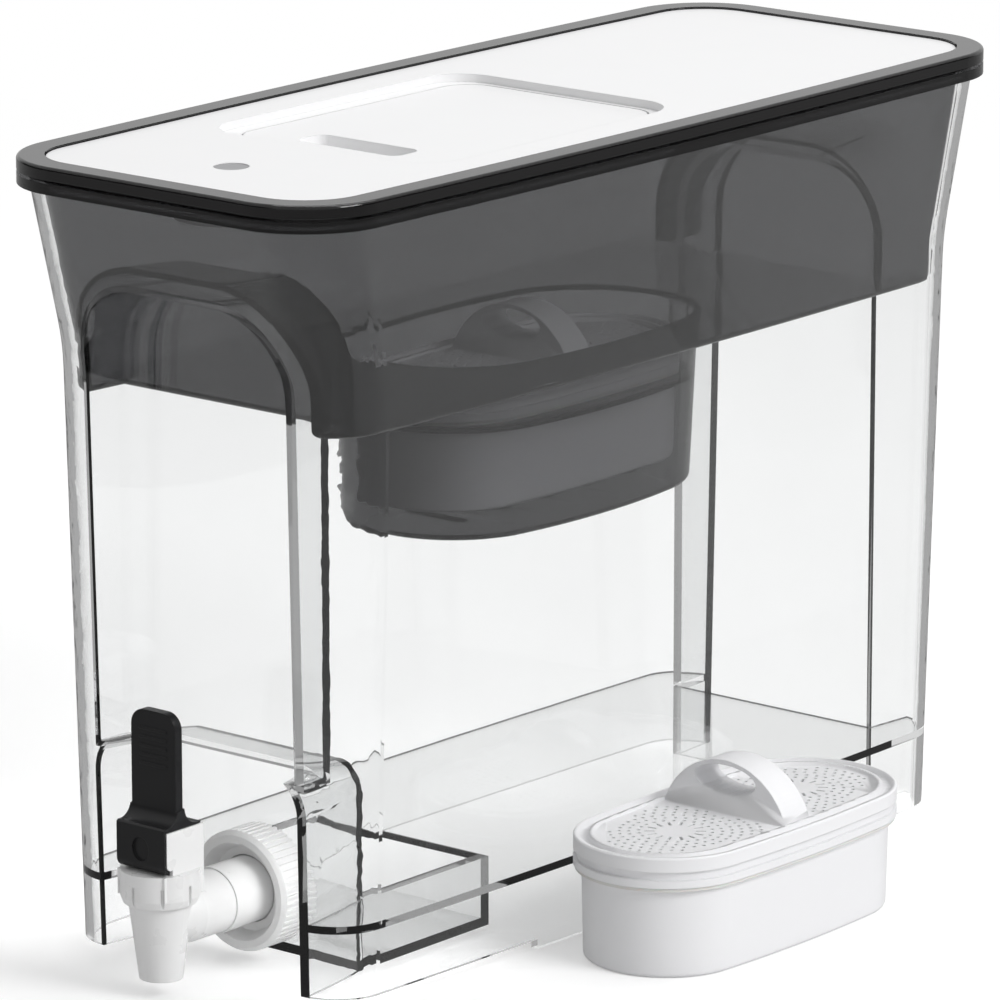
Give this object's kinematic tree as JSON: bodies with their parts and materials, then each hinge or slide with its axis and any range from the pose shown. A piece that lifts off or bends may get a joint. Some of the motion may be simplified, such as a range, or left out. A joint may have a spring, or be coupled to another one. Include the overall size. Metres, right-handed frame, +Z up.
{
  "type": "gravity water filter with tap",
  "caption": "Slim clear water tank with a tap in its end, a smoke reservoir and filter cartridge inside, a lid with a fill door, and a spare cartridge beside it.",
  "frame": {"origin": "middle of the tank's base, on the surface it stands on", "axes": "+Z up; +Y along the length, away from the tap; +X across, towards the spare cartridge"},
  "size_m": [0.2047, 0.3791, 0.268],
  "materials": {
    "clear_plastic": "clear, glossy",
    "smoke_plastic": "smoke tinted, glossy",
    "smoke_rim": "smoke tinted, glossy",
    "white_lid": "satin",
    "white_tap": "glossy",
    "white_nut": "satin, ribbed",
    "white_cartridge": "satin",
    "black_lever": "satin, moulded",
    "grey_button": "satin",
    "grey_timer": "satin",
    "circuit_board": "satin",
    "steel_cell": "brushed",
    "steel_pin": "drawn wire",
    "silicone": "translucent silicone",
    "mesh_screen": "fine nylon mesh",
    "filter_media": "carbon and resin granules"
  },
  "bodies": {
    "tank_body": {"tank": "clear_plastic", "tap_body": "white_tap", "tap_bonnet": "white_tap", "lever_pin": "steel_pin", "stem_washer": "silicone", "tap_nut": "white_nut", "tap_gasket": "silicone"},
    "tap_lever": {"tap_lever": "black_lever"},
    "tap_stem": {"tap_stem": "white_tap", "seat_plug": "silicone"},
    "reservoir": {"reservoir": "smoke_plastic"},
    "cartridge": {"cartridge_cup": "white_cartridge", "cartridge_cap": "white_cartridge", "cartridge_seal": "silicone", "cartridge_screen": "mesh_screen", "cartridge_media": "filter_media"},
    "lid": {"lid_rim": "smoke_rim", "lid_panel": "white_lid", "timer_case": "grey_timer", "timer_board": "circuit_board", "timer_cell": "steel_cell"},
    "fill_door": {"fill_door": "white_lid"},
    "timer_button": {"timer_button": "grey_button"},
    "spare_cartridge": {"spare_cartridge_cup": "white_cartridge", "spare_cartridge_cap": "white_cartridge", "spare_cartridge_seal": "silicone", "spare_cartridge_screen": "mesh_screen", "spare_cartridge_media": "filter_media"}
  },
  "joints": [
    {"name": "reservoir_lift", "type": "slide", "parent": "tank_body", "child": "reservoir", "axis": [0, 0, 1], "range_m": [0, 0.15]},
    {"name": "lid_lift", "type": "slide", "parent": "reservoir", "child": "lid", "axis": [0, 0, 1], "range_m": [0, 0.08]},
    {"name": "fill_door_hinge", "type": "hinge", "parent": "lid", "child": "fill_door", "pos_m": [0, 0.0124, 0.2631], "axis": [-1, 0, 0], "range_deg": [0, 100]},
    {"name": "timer_button_press", "type": "slide", "parent": "lid", "child": "timer_button", "axis": [0, 0, -1], "range_m": [0, 0.0008], "stiffness_N_per_m": 400},
    {"name": "cartridge_lift", "type": "slide", "parent": "reservoir", "child": "cartridge", "axis": [0, 0, 1], "range_m": [0, 0.055]},
    {"name": "tap_lever_hinge", "type": "hinge", "parent": "tank_body", "child": "tap_lever", "pos_m": [0, -0.187, 0.0469], "axis": [1, 0, 0], "range_deg": [0, 25], "stiffness_Nm_per_rad": 0.3},
    {"name": "tap_stem_lift", "type": "slide", "parent": "tank_body", "child": "tap_stem", "axis": [0, 0, 1], "range_m": [0, 0.0028]},
    {"name": "spare_cartridge_lift", "type": "slide", "parent": "tank_body", "child": "spare_cartridge", "axis": [0, 0, 1], "range_m": [0, 0.075]}
  ],
  "couplings": [
    {"joint": "tap_stem_lift", "follows": "tap_lever_hinge", "m_per_rad": 0.00613}
  ]
}
